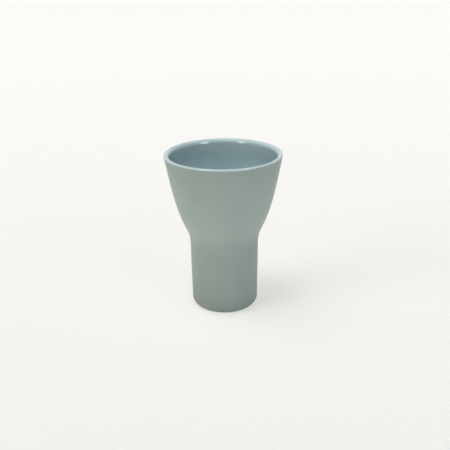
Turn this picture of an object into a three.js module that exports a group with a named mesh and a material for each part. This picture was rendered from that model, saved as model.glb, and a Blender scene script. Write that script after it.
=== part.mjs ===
// A handleless espresso cup: a slip-cast stoneware body with a flared bowl on a straight drum, a gloss
// glaze that lines it and rolls over the lip, and a matt glaze outside that stops above the bare foot.
// Millimetres, +Z up. The origin is on the table, under the middle of the foot.
import * as THREE from "three";

// Finished outline
const CUP_HEIGHT = 80; // table to the top of the lip
const RIM_DIAMETER = 58.3; // across the outside of the lip
const LIP_OUTER_ROUND = 0.8; // radius from the top of the lip down its outside
const LIP_INNER_ROUND = 1.9; // radius from the top of the lip down its inside
const LIP_LEAN = 11.6; // degrees that the bowl leans outwards just below the lip
const BOWL_LEAN = 26.6; // degrees that the bowl leans outwards just above the neck
const BOWL_FULLNESS = 0.33; // how far each end keeps its lean, as a share of the bowl's chord
const NECK_HEIGHT = 38.2; // where the straight lines of drum and bowl would cross
const NECK_ROUND = 17.7; // radius of the hollow between drum and bowl
const DRUM_DIAMETER = 33.3; // at the table, as if the foot were not rounded
const DRUM_DRAFT = 0.9; // degrees that the drum widens upwards
const FOOT_ROUND = 4.3; // radius between the drum and the table

// Underside
const FOOT_RING_WIDTH = 2.5; // the flat ring that the cup stands on
const FOOT_RECESS = 0.9; // depth of the hollow inside the ring
const RECESS_LEAN = 45; // degrees that the side of the hollow leans inwards

// Clay thickness
const DRUM_WALL = 2.6;
const FLOOR_THICKNESS = 3.6;
const WELL_ROUND = 5; // radius between the inner wall and the floor

// Glazes
const GLOSS_COAT = 0.35;
const MATT_COAT = 0.35;
const BOND_GAP = 0.05; // clearance between a coat and what it lies on or meets
const GLAZE_LINE_DROP = 0.8; // from the top of the lip down to where the glazes meet on the clay
const BARE_FOOT_HEIGHT = 0.5; // how far above the table the matt glaze stops

// Fineness of the outline and of the turning
const ARC_STEPS = 5;
const BOWL_STEPS = 6;
const NECK_STEPS = 3;
const TURN_STEPS = 48;

const { degToRad, clamp, lerp } = THREE.MathUtils;
const QUARTER_TURN = Math.PI / 2;
const draft = degToRad(DRUM_DRAFT);
const bowlLean = degToRad(BOWL_LEAN);
const lipLean = degToRad(LIP_LEAN);
const glossSkin = BOND_GAP + GLOSS_COAT;
const mattSkin = BOND_GAP + MATT_COAT;

// A unit step along a wall that leans outwards, and the direction square to it, out of the clay.
const upAlong = (lean) => new THREE.Vector2(Math.sin(lean), Math.cos(lean));
const outOf = (lean) => new THREE.Vector2(Math.cos(lean), -Math.sin(lean));

// Radius of the drum's straight clay side at a height, on its outside or a wall's depth inside it.
function drumRadius(height, depth = 0) {
  return DRUM_DIAMETER / 2 + height * Math.tan(draft) - (mattSkin + depth) / Math.cos(draft);
}

function arc(centre, radius, from, to) {
  return new THREE.EllipseCurve(centre.x, centre.y, radius, radius, from, to, to < from);
}

// Stations along a curve: points of the outline, each with the direction out of the clay.
function stationsAlong(curve, steps) {
  return curve.getPoints(steps).map((at, step) => {
    const along = curve.getTangent(step / steps);
    return { at, out: new THREE.Vector2(along.y, -along.x) };
  });
}

// The station at a height on a run of stations that rises.
function stationAt(run, height) {
  const next = run.findIndex(({ at }) => at.y > height);
  const [below, above] = [run[next - 1], run[next]];
  const share = (height - below.at.y) / (above.at.y - below.at.y);
  const out = below.out.clone().lerp(above.out, share).normalize();
  return { at: below.at.clone().lerp(above.at, share), out };
}

// The points of a run, moved out of the clay.
function raised(run, distance) {
  return run.map(({ at, out }) => at.clone().addScaledVector(out, distance));
}

// The round between a floor and the drum's side, at a depth inside it.
function cornerArc(floorHeight, radius, depth) {
  const height = floorHeight + radius;
  const centre = new THREE.Vector2(drumRadius(height, depth) - radius / Math.cos(draft), height);
  return arc(centre, radius, -QUARTER_TURN, -draft);
}

// The neck, a hollow arc that joins the drum's line to the bowl's first line
const neckCorner = new THREE.Vector2(drumRadius(NECK_HEIGHT), NECK_HEIGHT);
const neckRadius = NECK_ROUND + mattSkin;
const neckReach = neckRadius * Math.tan((bowlLean - draft) / 2);
const neckStart = neckCorner.clone().addScaledVector(upAlong(draft), -neckReach);
const neckEnd = neckCorner.clone().addScaledVector(upAlong(bowlLean), neckReach);
const neckCentre = neckStart.clone().addScaledVector(outOf(draft), neckRadius);
const neckArc = arc(neckCentre, neckRadius, Math.PI - draft, Math.PI - bowlLean);

// The lip, two rounds of clay that meet at its top, inside the gloss glaze
const lipTop = new THREE.Vector2(RIM_DIAMETER / 2 - LIP_OUTER_ROUND, CUP_HEIGHT - glossSkin);
function lipArc(finishedRound, from, to) {
  const radius = finishedRound - glossSkin;
  return arc(new THREE.Vector2(lipTop.x, lipTop.y - radius), radius, from, to);
}
const lipOutside = lipArc(LIP_OUTER_ROUND, -lipLean, QUARTER_TURN);
const lipInside = lipArc(LIP_INNER_ROUND, QUARTER_TURN, Math.PI - lipLean);
const lipStart = lipOutside.getPoint(0);
const lipWall = lipStart.clone().sub(lipInside.getPoint(1)).dot(outOf(lipLean)); // square to the wall

// The bowl, one curve from the neck to the lip
const bowlHandle = BOWL_FULLNESS * neckEnd.distanceTo(lipStart);
const bowlCurve = new THREE.CubicBezierCurve(
  neckEnd,
  neckEnd.clone().addScaledVector(upAlong(bowlLean), bowlHandle),
  lipStart.clone().addScaledVector(upAlong(lipLean), -bowlHandle),
  lipStart,
);

// The outside of the clay, rising from the foot ring to the top of the lip
const footArc = cornerArc(0, FOOT_ROUND, 0);
const wall = [...stationsAlong(neckArc, NECK_STEPS), ...stationsAlong(bowlCurve, BOWL_STEPS).slice(1)];
const outside = [
  ...stationsAlong(footArc, ARC_STEPS),
  ...wall,
  ...stationsAlong(lipOutside, ARC_STEPS).slice(1),
];

// The inside of the clay, falling from the top of the lip to the middle of the floor. The wall
// thickens from the lip down to the neck.
function acrossWall({ at, out }) {
  const share = clamp((at.y - neckStart.y) / (lipStart.y - neckStart.y), 0, 1);
  const thickness = lerp(DRUM_WALL, lipWall, share);
  return { at: at.clone().addScaledVector(out, -thickness), out: out.clone().negate() };
}

const floorHeight = FOOT_RECESS + FLOOR_THICKNESS;
const wellArc = cornerArc(floorHeight, WELL_ROUND, DRUM_WALL);
const well = stationsAlong(wellArc, ARC_STEPS).reverse();
const inside = [
  ...stationsAlong(lipInside, ARC_STEPS),
  ...wall.slice(0, -1).reverse().map(acrossWall),
  ...well.map(({ at, out }) => ({ at, out: out.clone().negate() })),
  { at: new THREE.Vector2(0, floorHeight), out: new THREE.Vector2(0, 1) },
];

// The underside, from the middle of the hollow to the foot ring
const ringInnerRadius = outside[0].at.x - FOOT_RING_WIDTH;
const recessRadius = ringInnerRadius - FOOT_RECESS * Math.tan(degToRad(RECESS_LEAN));
const underside = [
  new THREE.Vector2(0, FOOT_RECESS),
  new THREE.Vector2(recessRadius, FOOT_RECESS),
  new THREE.Vector2(ringInnerRadius, 0),
];

// A coat's outline: back along its bond and forward along its face. A coat that does not end on the
// axis closes on itself.
function coatOutline(run, thickness) {
  const bond = raised(run, BOND_GAP).reverse();
  const face = raised(run, BOND_GAP + thickness);
  const closed = run.at(-1).at.x === 0 ? [] : [bond[0]];
  return [...bond, ...face, ...closed];
}

// The whole turn round the clay, without the top of the lip twice
const insideBelowTop = inside.slice(1);
const clayOutline = [...underside, ...raised(outside, 0), ...raised(insideBelowTop, 0)];

// The gloss glaze lies from the glaze line over the lip to the middle of the floor
const glazeLine = CUP_HEIGHT - GLAZE_LINE_DROP;
const glossRun = [
  stationAt(outside, glazeLine),
  ...outside.filter(({ at }) => at.y > glazeLine),
  ...insideBelowTop,
];

// The matt glaze lies from the bare foot up to the glaze line
const mattTop = glazeLine - BOND_GAP;
const mattRun = [
  stationAt(outside, BARE_FOOT_HEIGHT),
  ...outside.filter(({ at }) => at.y > BARE_FOOT_HEIGHT && at.y < mattTop),
  stationAt(outside, mattTop),
];

const bareClay = new THREE.MeshStandardMaterial({ color: 0xb3aca0, roughness: 0.9, metalness: 0 });
const glossGlaze = new THREE.MeshStandardMaterial({ color: 0x7b9395, roughness: 0.12, metalness: 0 });
const mattGlaze = new THREE.MeshStandardMaterial({ color: 0x929f97, roughness: 0.6, metalness: 0 });

// One closed body turned about the cup's axis.
function turned(name, outline, material) {
  const geometry = new THREE.LatheGeometry(outline, TURN_STEPS);
  geometry.rotateX(QUARTER_TURN);
  const mesh = new THREE.Mesh(geometry, material);
  mesh.name = name;
  return mesh;
}

const cup = new THREE.Group();
cup.add(turned("cup_body", clayOutline, bareClay));
cup.add(turned("inner_glaze", coatOutline(glossRun, GLOSS_COAT), glossGlaze));
cup.add(turned("outer_glaze", coatOutline(mattRun, MATT_COAT), mattGlaze));

export default cup;
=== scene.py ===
# A handleless espresso cup: stoneware with a gloss glaze inside and over the lip, and a matt glaze
# outside that leaves the foot bare. Metres, +Z up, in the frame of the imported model.
import math

import bpy
import numpy as np
from mathutils import Color, Matrix, Vector, noise


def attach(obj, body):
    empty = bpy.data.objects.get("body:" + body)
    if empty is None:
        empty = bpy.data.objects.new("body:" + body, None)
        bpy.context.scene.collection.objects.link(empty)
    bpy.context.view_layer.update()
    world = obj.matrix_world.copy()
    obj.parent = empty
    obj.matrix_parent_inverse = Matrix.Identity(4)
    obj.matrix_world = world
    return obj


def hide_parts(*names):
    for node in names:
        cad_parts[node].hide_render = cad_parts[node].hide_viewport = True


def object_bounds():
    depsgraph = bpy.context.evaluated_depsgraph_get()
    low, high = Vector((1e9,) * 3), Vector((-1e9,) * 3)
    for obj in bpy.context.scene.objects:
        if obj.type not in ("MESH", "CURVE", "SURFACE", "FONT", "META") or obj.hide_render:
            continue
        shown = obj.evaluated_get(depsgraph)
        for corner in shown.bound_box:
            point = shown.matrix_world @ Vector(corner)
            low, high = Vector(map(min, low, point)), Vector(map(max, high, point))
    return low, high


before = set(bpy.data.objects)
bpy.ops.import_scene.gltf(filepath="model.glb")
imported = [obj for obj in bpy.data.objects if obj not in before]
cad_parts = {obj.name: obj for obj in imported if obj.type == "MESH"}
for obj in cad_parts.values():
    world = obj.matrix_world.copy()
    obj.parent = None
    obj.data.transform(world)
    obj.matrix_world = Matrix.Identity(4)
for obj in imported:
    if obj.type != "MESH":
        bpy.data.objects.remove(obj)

CAD_LOW, CAD_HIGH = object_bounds()
MM = 0.001

# Finished outline, with the glazes on the clay
CUP_HEIGHT = CAD_HIGH.z
RIM_RADIUS = CAD_HIGH.x
LIP_OUTER_ROUND = 0.8 * MM
LIP_INNER_ROUND = 1.9 * MM
LIP_LEAN = math.radians(11.6)  # of the bowl outwards, just below the lip
BOWL_LEAN = math.radians(26.6)  # of the bowl outwards, just above the neck
BOWL_FULLNESS = 0.33  # how far each end of the bowl keeps its lean, as a share of the chord
NECK_HEIGHT = 38.2 * MM  # where the straight lines of drum and bowl would cross
NECK_ROUND = 17.7 * MM
DRUM_RADIUS = 16.65 * MM  # at the table, as if the foot were not rounded
DRUM_DRAFT = math.radians(0.9)

# Clay
FOOT_ROUND = 4.3 * MM
FOOT_RING_WIDTH = 2.5 * MM
FOOT_RECESS = 0.9 * MM
DRUM_WALL = 2.6 * MM
FLOOR_THICKNESS = 3.6 * MM
WELL_ROUND = 5 * MM

# Glazes
GLOSS_COAT = 0.35 * MM
MATT_COAT = 0.35 * MM
BOND_GAP = 0.05 * MM
GLAZE_LINE_DROP = 0.8 * MM
BARE_FOOT = 0.5 * MM
GLAZE_LINE = CUP_HEIGHT - GLAZE_LINE_DROP
GLOSS_SKIN = BOND_GAP + GLOSS_COAT
MATT_SKIN = BOND_GAP + MATT_COAT

# What firing does to a glaze: edges that are rounded and waver, and a face that is not quite even
FOOT_EDGE_ROUND = 0.6 * MM
GLAZE_LINE_ROUND = 0.06 * MM
EDGE_WAVER = 0.12 * MM
EDGE_WAVES = 3
GLAZE_LINE_SEED = 3.0
FOOT_LINE_SEED = 7.0
GLOSS_RIPPLE = 0.025 * MM
MATT_RIPPLE = 0.015 * MM
RIPPLE_SIZE = 9 * MM

# Underside
RING_EDGE = 0.25 * MM
RECESS_EDGE = 0.8 * MM
TURNING_PITCH = 1.3 * MM
TURNING_DEPTH = 0.03 * MM

# Fineness of the meshes
SEGMENTS = 192
ARC_STEPS = 16
EDGE_STEPS = 8
LINE_STEPS = 36
BOWL_STEPS = 60
TURNING_STEPS = 72
AXIS_TOLERANCE = 1e-6 * MM

# Colours, as sRGB
SRGB_WHITE = 255
MATT_COLOUR = (149, 163, 158)
GLOSS_COLOUR = (148, 170, 175)
# Pale where the glaze thins over the lip, and partly a painted highlight
LIP_COLOUR_AND_HIGHLIGHT = (183, 202, 205)
CLAY_COLOUR = (176, 170, 158)
SKY_COLOUR = (252, 251, 247)

# Shares of the cup's height, and how light the matt glaze is there, as painted shade towards the foot
# and painted light low on the bowl
MATT_PAINTED_LIGHT_TONES = [
    (0.01, 0.55),
    (0.03, 0.71),
    (0.13, 0.87),
    (0.25, 0.95),
    (0.38, 0.98),
    (0.45, 1.03),
    (0.52, 1.14),
    (0.75, 1.11),
    (0.97, 1.0),
]

# The same for the gloss glaze, as painted light that is lightest deep in the bowl. From LIP_SHARE up it
# has the lip's colour, pale where the glaze thins and partly a painted highlight
GLOSS_PAINTED_LIGHT_TONES = [
    (0.05, 0.9),
    (0.5, 1.2),
    (0.83, 1.36),
    (0.91, 1.02),
    (0.97, 1.0),
]
LIP_SHARE = 0.99

# Noise, and the span in which most of its values lie
NOISE_DETAIL = 3.0
NOISE_ROUGHNESS = 0.55
NOISE_SPAN = (0.3, 0.7)

# Matt glaze: wide clouds and fine crystals, with how light they are at least and at most
MATT_CLOUD_SIZE = 22 * MM
MATT_CLOUD_SPAN = (0.35, 0.65)
MATT_CLOUD_LEVELS = (0.97, 1.03)
CRYSTAL_SIZE = 0.5 * MM
CRYSTAL_LEVELS = (0.95, 1.05)
CRYSTAL_DEPTH = 0.02 * MM
MATT_ROUGHNESS = (0.5, 0.62)

# Gloss glaze: clouds of colour, patches of a little less gloss, and low waves
GLOSS_CLOUD_SIZE = 12 * MM
GLOSS_CLOUD_LEVELS = (0.96, 1.0)
GLOSS_PATCH_SIZE = 3 * MM
GLOSS_ROUGHNESS = (0.08, 0.12)
GLOSS_WAVE_SIZE = 5 * MM
GLOSS_WAVE_DEPTH = 0.02 * MM

# Bare clay: sandy grain, and dark specks that fade out between two shares of their spacing
GRAIN_SIZE = 0.4 * MM
GRAIN_LEVELS = (0.85, 1.05)
GRAIN_DEPTH = 0.05 * MM
CLAY_ROUGHNESS = (0.8, 0.95)
SPECK_SPACING = 1.6 * MM
SPECK_EDGE = (0.06, 0.12)
SPECK_LEVELS = (0.6, 1.0)

# Floor, with its colours at distances from its darkest place, which is in front of the cup: painted
# shade that darkens the floor towards the camera
FLOOR_REACH = 6.0
FLOOR_DARKEST = (0, -0.3, 0)
FLOOR_PAINTED_SHADE_COLOURS = [
    (0.18, (243, 241, 237)),
    (0.36, (247, 245, 241)),
    (0.55, (250, 248, 245)),
    (1.0, (253, 251, 248)),
]

# Even light from all round
WORLD_LIGHT = 0.24

# Colours of the lamps
WHITE = (1.0, 1.0, 1.0)
WARM = (1.0, 0.95, 0.85)
COOL = (0.88, 0.97, 1.0)

# Lamps that cast the shadows, with their angles in degrees and the azimuth from the camera to the right
KEYS = {
    "key_high": dict(azimuth=-55, elevation=78, width=20, strength=0.2, colour=WHITE),
    "key_low": dict(azimuth=-62, elevation=18, width=40, strength=0.72, colour=WARM),
}

# Lamps that cast no shadow
FILLS = {
    "fill_high": dict(azimuth=-60, elevation=68, width=40, strength=0.36, colour=WHITE),
    "fill_right": dict(azimuth=40, elevation=35, width=30, strength=0.52, colour=COOL),
    "fill_left": dict(azimuth=-120, elevation=60, width=30, strength=0.3, colour=WHITE),
    "fill_top": dict(azimuth=0, elevation=90, width=30, strength=1.09, colour=WHITE),
}

# Lamps that show only in reflections, where no other lamp shows
WINDOWS = {
    "window_top": dict(azimuth=-60, elevation=68, width=40, strength=0.65, colour=WHITE),
    "window_left": dict(azimuth=-39, elevation=22, width=18, strength=0.75, colour=WHITE),
    "window_right": dict(azimuth=42, elevation=22, width=20, strength=1.05, colour=WHITE),
}

# The camera of the photograph, with angles in radians, and lens and sensor in millimetres
AIM = Vector((0, 0, 40 * MM))
CAMERA_DISTANCE = 0.4
CAMERA_ELEVATION = 0.3688
CAMERA_ROLL = 0.0129
CAMERA_LENS = 63.16
CAMERA_SENSOR = 36
CAMERA_SHIFT = (0.0019, 0.0094)


# Outline: rows of radius, height and the direction out of the clay

def lean_up(lean):
    """A unit step up along a wall that leans outwards."""
    return np.array([math.sin(lean), math.cos(lean)])


def lean_out(lean):
    """The direction square to that wall, out of the cup."""
    return np.array([math.cos(lean), -math.sin(lean)])


def arc(centre, radius, start, end, side=1):
    """A round with the clay inside it, or outside it where side is -1."""
    angle = np.linspace(start, end, ARC_STEPS + 1)
    spoke = np.stack([np.cos(angle), np.sin(angle)], axis=1)
    return np.hstack([centre + radius * spoke, side * spoke])


def line(start, end, out):
    share = np.linspace(0, 1, LINE_STEPS + 1)[:, None]
    return np.hstack([start + share * (end - start), np.tile(out, (LINE_STEPS + 1, 1))])


def bezier(start, first, second, end):
    t = np.linspace(0, 1, BOWL_STEPS + 1)[:, None]
    s = 1 - t
    at = s ** 3 * start + 3 * t * s ** 2 * first + 3 * t * t * s * second + t ** 3 * end
    along = s ** 2 * (first - start) + 2 * t * s * (second - first) + t * t * (end - second)
    along /= np.linalg.norm(along, axis=1, keepdims=True)
    return np.hstack([at, along[:, 1:], -along[:, :1]])


def joined(*stretches):
    """One run of rows from stretches that meet, each joint once."""
    return np.vstack([stretches[0]] + [stretch[1:] for stretch in stretches[1:]])


def turned_over(run):
    """The same run walked the other way, with the clay on its other side."""
    back = run[::-1].copy()
    back[:, 2:] *= -1
    return back


def drum_radius(height, depth=0.0):
    """The radius of the drum's clay at a height, on its outside or at a depth inside it."""
    return DRUM_RADIUS + height * math.tan(DRUM_DRAFT) - (MATT_SKIN + depth) / math.cos(DRUM_DRAFT)


def corner(ground, radius, depth):
    """The round between level ground and the drum's side, at a depth inside it."""
    height = ground + radius
    centre = np.array([drum_radius(height, depth) - radius / math.cos(DRUM_DRAFT), height])
    return arc(centre, radius, -math.pi / 2, -DRUM_DRAFT)


def neck():
    radius = NECK_ROUND + MATT_SKIN
    crossing = np.array([drum_radius(NECK_HEIGHT), NECK_HEIGHT])
    start = crossing - radius * math.tan((BOWL_LEAN - DRUM_DRAFT) / 2) * lean_up(DRUM_DRAFT)
    centre = start + radius * lean_out(DRUM_DRAFT)
    return arc(centre, radius, math.pi - DRUM_DRAFT, math.pi - BOWL_LEAN, side=-1)


def lip(finished_round, start, end):
    """One of the lip's two rounds, which meet at its top."""
    radius = finished_round - GLOSS_SKIN
    centre = np.array([RIM_RADIUS - LIP_OUTER_ROUND, CUP_HEIGHT - GLOSS_SKIN - radius])
    return arc(centre, radius, start, end)


def bowl(start, end):
    handle = BOWL_FULLNESS * np.linalg.norm(end - start)
    first = start + handle * lean_up(BOWL_LEAN)
    second = end - handle * lean_up(LIP_LEAN)
    return bezier(start, first, second, end)


def across_wall(run, lip_end):
    """The inner side of the wall, which thickens from the lip's inner round down to the neck."""
    lip_wall = (run[-1, :2] - lip_end) @ lean_out(LIP_LEAN)
    share = (run[:, 1:2] - run[0, 1]) / (run[-1, 1] - run[0, 1])
    thickness = DRUM_WALL + share * (lip_wall - DRUM_WALL)
    inner = np.hstack([run[:, :2] - thickness * run[:, 2:], run[:, 2:]])
    return turned_over(inner[inner[:, 1] < lip_end[1]])


def clay_sides():
    """The outside of the clay, foot ring to top of the lip, and the inside, from there to the floor."""
    foot = corner(0, FOOT_ROUND, 0)
    neck_arc = neck()
    lip_outside = lip(LIP_OUTER_ROUND, -LIP_LEAN, math.pi / 2)
    lip_inside = lip(LIP_INNER_ROUND, math.pi / 2, math.pi - LIP_LEAN)
    wall = joined(neck_arc, bowl(neck_arc[-1, :2], lip_outside[0, :2]))
    drum = line(foot[-1, :2], wall[0, :2], lean_out(DRUM_DRAFT))
    inner_wall = across_wall(wall, lip_inside[-1, :2])
    floor_height = FOOT_RECESS + FLOOR_THICKNESS
    well = turned_over(corner(floor_height, WELL_ROUND, DRUM_WALL))
    well_side = line(inner_wall[-1, :2], well[0, :2], -lean_out(DRUM_DRAFT))
    floor_line = line(well[-1, :2], np.array([0.0, floor_height]), np.array([0.0, 1.0]))
    outside = joined(foot, drum, wall, lip_outside)
    inside = np.vstack([lip_inside, joined(inner_wall, well_side, well, floor_line)])
    return outside, inside


def underside(ring_outer):
    """The hollow under the foot with its turning marks, out to the ring that stands on the table."""
    ring_inner = ring_outer - FOOT_RING_WIDTH
    recess = ring_inner - RECESS_EDGE
    radius = np.linspace(0, recess, TURNING_STEPS)
    marks = TURNING_DEPTH * (1 - np.cos(2 * math.pi * radius / TURNING_PITCH)) / 2
    hollow = np.stack([radius, FOOT_RECESS - marks], axis=1)
    share = np.linspace(0, 1, ARC_STEPS)[1:, None]
    fall = (1 - np.cos(math.pi * share)) / 2
    start = hollow[-1]
    side = np.hstack([start[0] + share * RECESS_EDGE, start[1] * (1 - fall)])
    ring = np.array([[ring_inner + RING_EDGE, 0.0], [ring_outer - RING_EDGE, 0.0]])
    return np.vstack([hollow, side, ring])


# Meshes

ANGLE = np.linspace(0, 2 * math.pi, SEGMENTS, endpoint=False)


def add_object(name, data):
    """An object of the scene that shows a mesh, a lamp or a camera."""
    added = bpy.data.objects.new(name, data)
    bpy.context.scene.collection.objects.link(added)
    return added


def ring_points(radius, height):
    """A ring of points at one radius and height, or at one for each angle."""
    radius = np.broadcast_to(radius, SEGMENTS)
    height = np.broadcast_to(height, SEGMENTS)
    return np.stack([radius * np.cos(ANGLE), radius * np.sin(ANGLE), height], axis=1)


def turned_mesh(name, rings, closed):
    """A smooth mesh through rings of points. A ring on the axis is one point."""
    points = []
    index = []
    for ring in rings:
        on_axis = np.abs(ring[:, :2]).max() < AXIS_TOLERANCE
        kept = ring[:1] if on_axis else ring
        first = sum(len(earlier) for earlier in points)
        points.append(kept)
        index.append([first] * SEGMENTS if on_axis else list(range(first, first + SEGMENTS)))
    pairs = list(zip(index, index[1:] + index[:1]))
    faces = []
    for low, high in pairs if closed else pairs[:-1]:
        for j in range(SEGMENTS):
            k = (j + 1) % SEGMENTS
            corners = dict.fromkeys([low[j], low[k], high[k], high[j]])
            if len(corners) > 2:
                faces.append(list(corners))
    mesh = bpy.data.meshes.new(name)
    mesh.from_pydata(np.vstack(points).tolist(), [], faces)
    mesh.polygons.foreach_set("use_smooth", [True] * len(mesh.polygons))
    mesh.validate()
    return add_object(name, mesh)


def waver(seed):
    """A slow, closed wave round the cup, within EDGE_WAVER."""
    turn = [Vector((EDGE_WAVES * math.cos(a), EDGE_WAVES * math.sin(a), seed)) for a in ANGLE]
    return EDGE_WAVER * np.array([noise.noise(point) for point in turn])


def swelling(points):
    """How far a fired coat swells or sinks at each point, from -1 to 1."""
    return np.array([noise.noise(Vector(point) / RIPPLE_SIZE) for point in points])


def edge_share(distance, rounding):
    """How much of its thickness a coat has at a distance from its rounded edge."""
    inward = np.clip(distance / rounding, 0, 1)
    return np.sqrt(1 - (1 - inward) ** 2)


def edge_steps(rounding):
    """Distances from a rounded edge, closest together at the edge."""
    return rounding * (1 - np.cos(np.linspace(0, math.pi / 2, EDGE_STEPS + 1)))


def length_along(run):
    return np.concatenate([[0], np.cumsum(np.linalg.norm(np.diff(run[:, :2], axis=0), axis=1))])


class Coat:
    """A coat over a run of the clay, from an edge at its start to one at its end.

    A coat without a rounding at its end runs to the axis.
    """

    def __init__(self, run, thickness, ripple, start_round, start_waver, end_round=0.0, end_waver=0.0):
        self.run = run
        self.along = length_along(run)
        self.thickness = thickness
        self.ripple = ripple
        self.start_round = start_round
        self.end_round = end_round
        self.first = EDGE_WAVER + start_waver
        self.last = self.along[-1] - (EDGE_WAVER if end_round else 0) + end_waver

    def steps(self):
        """Distances along the run, closest together at the edges."""
        length = self.along[-1]
        inner = (self.along > self.start_round) & (self.along < length - self.end_round)
        start = edge_steps(self.start_round)
        end = length - edge_steps(self.end_round)[::-1] if self.end_round else [length]
        return np.concatenate([start, self.along[inner], end])

    def cover(self, distance):
        """How much of its thickness the coat has at a distance along the run."""
        share = edge_share(distance - self.first, self.start_round)
        if self.end_round:
            share = np.minimum(share, edge_share(self.last - distance, self.end_round))
        return share

    def rings(self):
        """The coat's rings on the clay, and those of its face."""
        bonds = []
        faces = []
        for step in self.steps():
            distance = self.first + step / self.along[-1] * (self.last - self.first)
            r, z, out_r, out_z = (np.interp(distance, self.along, column) for column in self.run.T)
            bond = ring_points(r + BOND_GAP * out_r, z + BOND_GAP * out_z)
            depth = self.thickness + self.ripple * (swelling(bond) - 1)
            lift = BOND_GAP + self.cover(distance) * depth
            bonds.append(bond)
            faces.append(ring_points(r + lift * out_r, z + lift * out_z))
        return bonds, faces

    def mesh(self, name):
        bonds, faces = self.rings()
        if self.end_round:
            return turned_mesh(name, bonds[-2:0:-1] + faces, closed=True)
        return turned_mesh(name, bonds[:0:-1] + faces, closed=False)


def cut_run(run, low, high):
    """The part of a rising run between two heights."""
    heights = np.concatenate([[low], run[(run[:, 1] > low) & (run[:, 1] < high), 1], [high]])
    return np.stack([np.interp(heights, run[:, 1], column) for column in run.T], axis=1)


def build_cup():
    outside, inside = clay_sides()
    base = underside(outside[0, 0])
    clay_rows = np.vstack([base, outside[1:, :2], inside[1:, :2]])
    clay = turned_mesh("clay_body", [ring_points(r, z) for r, z in clay_rows], closed=False)
    meeting = waver(GLAZE_LINE_SEED)
    gloss_run = joined(cut_run(outside, GLAZE_LINE - EDGE_WAVER, outside[-1, 1]), inside)
    gloss = Coat(gloss_run, GLOSS_COAT, GLOSS_RIPPLE, GLAZE_LINE_ROUND, meeting).mesh("gloss_lining")
    matt_run = cut_run(outside, BARE_FOOT - EDGE_WAVER, GLAZE_LINE + EDGE_WAVER - BOND_GAP)
    matt_edges = (FOOT_EDGE_ROUND, waver(FOOT_LINE_SEED), GLAZE_LINE_ROUND, meeting)
    matt = Coat(matt_run, MATT_COAT, MATT_RIPPLE, *matt_edges).mesh("matt_coat")
    return clay, gloss, matt


# Materials

def linear(colour, gain=1.0):
    """An sRGB colour as linear RGBA, made lighter or darker by a gain."""
    value = Color(np.array(colour) / SRGB_WHITE).from_srgb_to_scene_linear()
    return (*(value * gain), 1.0)


def grey(level):
    return (level, level, level, 1.0)


def make(tree, kind, inputs=None, **settings):
    """A node with its settings, and with each input set to a value or linked to a socket."""
    node = tree.nodes.new(kind)
    for name, value in settings.items():
        setattr(node, name, value)
    for name, value in (inputs or {}).items():
        if isinstance(value, bpy.types.NodeSocket):
            tree.links.new(value, node.inputs[name])
        else:
            node.inputs[name].default_value = value
    return node


def new_tree(name):
    material = bpy.data.materials.new(name)
    material.use_nodes = True
    material.node_tree.nodes.clear()
    return material, material.node_tree


def finish_surface(tree, shader):
    make(tree, "ShaderNodeOutputMaterial", {"Surface": shader.outputs[0]})


def object_place(tree):
    return make(tree, "ShaderNodeTexCoord").outputs["Object"]


def cloud(tree, place, size):
    """A soft noise with features of about one size, from 0 to 1."""
    inputs = {
        "Vector": place,
        "Scale": 1 / size,
        "Detail": NOISE_DETAIL,
        "Roughness": NOISE_ROUGHNESS,
    }
    return make(tree, "ShaderNodeTexNoise", inputs).outputs["Fac"]


def ramp(tree, value, *stops):
    """The colour at a value, from stops of a position and a colour."""
    node = make(tree, "ShaderNodeValToRGB", {"Fac": value})
    elements = node.color_ramp.elements
    while len(elements) < len(stops):
        elements.new(1.0)
    for element, (position, colour) in zip(elements, stops):
        element.position = position
        element.color = colour
    return node.outputs["Color"]


def shades(tree, value, span, levels):
    """Greys that go from one level to another while a value crosses a span."""
    return ramp(tree, value, *zip(span, map(grey, levels)))


def spread(tree, value, span, results):
    """A number that goes from one result to another while a value crosses a span."""
    low, high = span
    least, most = results
    inputs = {"Value": value, "From Min": low, "From Max": high, "To Min": least, "To Max": most}
    return make(tree, "ShaderNodeMapRange", inputs).outputs["Result"]


def multiplied(tree, colour, shade):
    node = make(tree, "ShaderNodeMix", data_type="RGBA", blend_type="MULTIPLY")
    factor, first, second = (socket for socket in node.inputs if socket.enabled)
    factor.default_value = 1.0
    tree.links.new(colour, first)
    tree.links.new(shade, second)
    return next(socket for socket in node.outputs if socket.enabled)


def height_share(tree, place):
    """The height of a place, as a share of the cup's."""
    height = make(tree, "ShaderNodeSeparateXYZ", {"Vector": place}).outputs["Z"]
    return spread(tree, height, (0.0, CUP_HEIGHT), (0.0, 1.0))


def bump(tree, height, depth):
    inputs = {"Height": height, "Distance": depth, "Strength": 1.0}
    return make(tree, "ShaderNodeBump", inputs).outputs["Normal"]


def matt_glaze():
    """A silky matt glaze, with painted shade that darkens it towards the foot and painted light that
    makes it palest low on the bowl.
    """
    material, tree = new_tree("matt_glaze")
    place = object_place(tree)
    # Painted shade towards the foot and painted light low on the bowl, by height
    stops = [(share, linear(MATT_COLOUR, gain)) for share, gain in MATT_PAINTED_LIGHT_TONES]
    body = ramp(tree, height_share(tree, place), *stops)
    clouds = shades(tree, cloud(tree, place, MATT_CLOUD_SIZE), MATT_CLOUD_SPAN, MATT_CLOUD_LEVELS)
    crystals = cloud(tree, place, CRYSTAL_SIZE)
    flecks = shades(tree, crystals, NOISE_SPAN, CRYSTAL_LEVELS)
    shader = make(tree, "ShaderNodeBsdfPrincipled", {
        "Base Color": multiplied(tree, multiplied(tree, body, clouds), flecks),
        "Roughness": spread(tree, crystals, NOISE_SPAN, MATT_ROUGHNESS),
        "Normal": bump(tree, crystals, CRYSTAL_DEPTH),
    })
    finish_surface(tree, shader)
    return material


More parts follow.
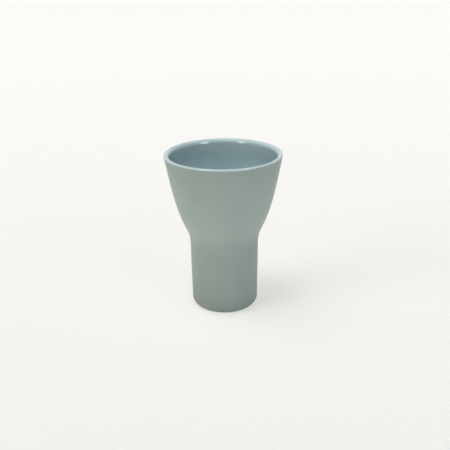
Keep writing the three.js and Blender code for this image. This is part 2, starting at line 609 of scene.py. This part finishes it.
def gloss_glaze():
    """A gloss glaze with painted light by height: lightest deep in the bowl, darker down in the well
    and just under the lip, and palest over the lip, where the glaze thins and a highlight is painted.
    """
    material, tree = new_tree("gloss_glaze")
    place = object_place(tree)
    # Painted light by height, lightest deep in the bowl
    stops = [(share, linear(GLOSS_COLOUR, gain)) for share, gain in GLOSS_PAINTED_LIGHT_TONES]
    # From LIP_SHARE up, the lip's pale colour with its painted highlight
    body = ramp(tree, height_share(tree, place), *stops, (LIP_SHARE, linear(LIP_COLOUR_AND_HIGHLIGHT)))
    clouds = shades(tree, cloud(tree, place, GLOSS_CLOUD_SIZE), NOISE_SPAN, GLOSS_CLOUD_LEVELS)
    patches = cloud(tree, place, GLOSS_PATCH_SIZE)
    waves = cloud(tree, place, GLOSS_WAVE_SIZE)
    shader = make(tree, "ShaderNodeBsdfPrincipled", {
        "Base Color": multiplied(tree, body, clouds),
        "Roughness": spread(tree, patches, NOISE_SPAN, GLOSS_ROUGHNESS),
        "Normal": bump(tree, waves, GLOSS_WAVE_DEPTH),
    })
    finish_surface(tree, shader)
    return material


def bare_clay():
    """Fired stoneware without glaze, with a sandy grain and a few darker specks."""
    material, tree = new_tree("bare_clay")
    place = object_place(tree)
    grain = cloud(tree, place, GRAIN_SIZE)
    body = ramp(tree, grain, *zip(NOISE_SPAN, [linear(CLAY_COLOUR, gain) for gain in GRAIN_LEVELS]))
    cells = make(tree, "ShaderNodeTexVoronoi", {"Vector": place, "Scale": 1 / SPECK_SPACING})
    specks = shades(tree, cells.outputs["Distance"], SPECK_EDGE, SPECK_LEVELS)
    shader = make(tree, "ShaderNodeBsdfPrincipled", {
        "Base Color": multiplied(tree, body, specks),
        "Roughness": spread(tree, grain, NOISE_SPAN, CLAY_ROUGHNESS),
        "Normal": bump(tree, grain, GRAIN_DEPTH),
    })
    finish_surface(tree, shader)
    return material


# Stage, light and camera

def larger(tree, first, second):
    return make(tree, "ShaderNodeMath", {0: first, 1: second}, operation="MAXIMUM").outputs[0]


def seen_rays(tree):
    """1 for rays that show the sky, directly or in a reflection, and 0 for rays that light."""
    path = make(tree, "ShaderNodeLightPath").outputs
    direct = larger(tree, path["Is Camera Ray"], path["Is Transmission Ray"])
    return larger(tree, direct, path["Is Glossy Ray"])


def floor():
    """A wide pale floor, with painted shade that makes it a little darker in front of the cup than far
    away.
    """
    sides = [(-1, -1), (1, -1), (1, 1), (-1, 1)]
    mesh = bpy.data.meshes.new("floor")
    mesh.from_pydata([(x * FLOOR_REACH, y * FLOOR_REACH, 0) for x, y in sides], [], [range(len(sides))])
    plane = add_object("floor", mesh)
    material, tree = new_tree("floor")
    ends = {0: object_place(tree), 1: FLOOR_DARKEST}
    away = make(tree, "ShaderNodeVectorMath", ends, operation="DISTANCE").outputs["Value"]
    # Painted shade: the floor darker towards the front
    tone = ramp(tree, away, *((distance, linear(colour)) for distance, colour in FLOOR_PAINTED_SHADE_COLOURS))
    finish_surface(tree, make(tree, "ShaderNodeBsdfDiffuse", {"Color": tone}))
    plane.data.materials.append(material)
    return plane


def sky():
    """An even white world. What is seen of it, as in the gloss glaze, is as pale as the floor."""
    world = bpy.data.worlds.new("studio")
    bpy.context.scene.world = world
    world.use_nodes = True
    tree = world.node_tree
    tree.nodes.clear()
    lit = make(tree, "ShaderNodeBackground", {"Color": grey(1.0), "Strength": WORLD_LIGHT})
    seen = make(tree, "ShaderNodeBackground", {"Color": linear(SKY_COLOUR), "Strength": 1.0})
    choice = {0: seen_rays(tree), 1: lit.outputs[0], 2: seen.outputs[0]}
    mixed = make(tree, "ShaderNodeMixShader", choice)
    make(tree, "ShaderNodeOutputWorld", {"Surface": mixed.outputs[0]})


def towards(azimuth, elevation):
    """The direction at some degrees round from the camera to the right, and some degrees up."""
    a = math.radians(azimuth)
    e = math.radians(elevation)
    return Vector((math.sin(a) * math.cos(e), -math.cos(a) * math.cos(e), math.sin(e)))


def lamp(name, azimuth, elevation, width, strength, colour):
    """A distant lamp, so that the whole floor is lit alike."""
    data = bpy.data.lights.new(name, "SUN")
    data.angle = math.radians(width)
    data.energy = strength
    data.color = colour
    sun = add_object(name, data)
    sun.rotation_mode = "QUATERNION"
    sun.rotation_quaternion = (-towards(azimuth, elevation)).to_track_quat("-Z", "Y")
    return sun


def lamps():
    for name, settings in KEYS.items():
        key = lamp(name, **settings)
        key.visible_glossy = False
    for name, settings in FILLS.items():
        fill = lamp(name, **settings)
        fill.visible_glossy = False
        fill.data.use_shadow = False
    for name, settings in WINDOWS.items():
        window = lamp(name, **settings)
        window.visible_diffuse = False


def camera():
    data = bpy.data.cameras.new("camera")
    data.sensor_width = CAMERA_SENSOR
    data.lens = CAMERA_LENS
    data.shift_x, data.shift_y = CAMERA_SHIFT
    view = add_object("camera", data)
    back = Vector((0, -math.cos(CAMERA_ELEVATION), math.sin(CAMERA_ELEVATION)))
    turn = (-back).to_track_quat("-Z", "Y").to_matrix().to_4x4()
    roll = Matrix.Rotation(-CAMERA_ROLL, 4, "Z")
    view.matrix_world = Matrix.Translation(AIM + CAMERA_DISTANCE * back) @ turn @ roll
    bpy.context.scene.camera = view


clay, gloss, matt = build_cup()
dressed = {
    clay: ("cup_body", "bare_clay", bare_clay()),
    gloss: ("inner_glaze", "gloss_glaze", gloss_glaze()),
    matt: ("outer_glaze", "matt_glaze", matt_glaze()),
}
for piece, (node, slot, material) in dressed.items():
    piece.data.materials.append(material)
    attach(piece, "root")
    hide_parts(node)

floor()
sky()
lamps()
camera()
bpy.context.scene.view_settings.view_transform = "Standard"
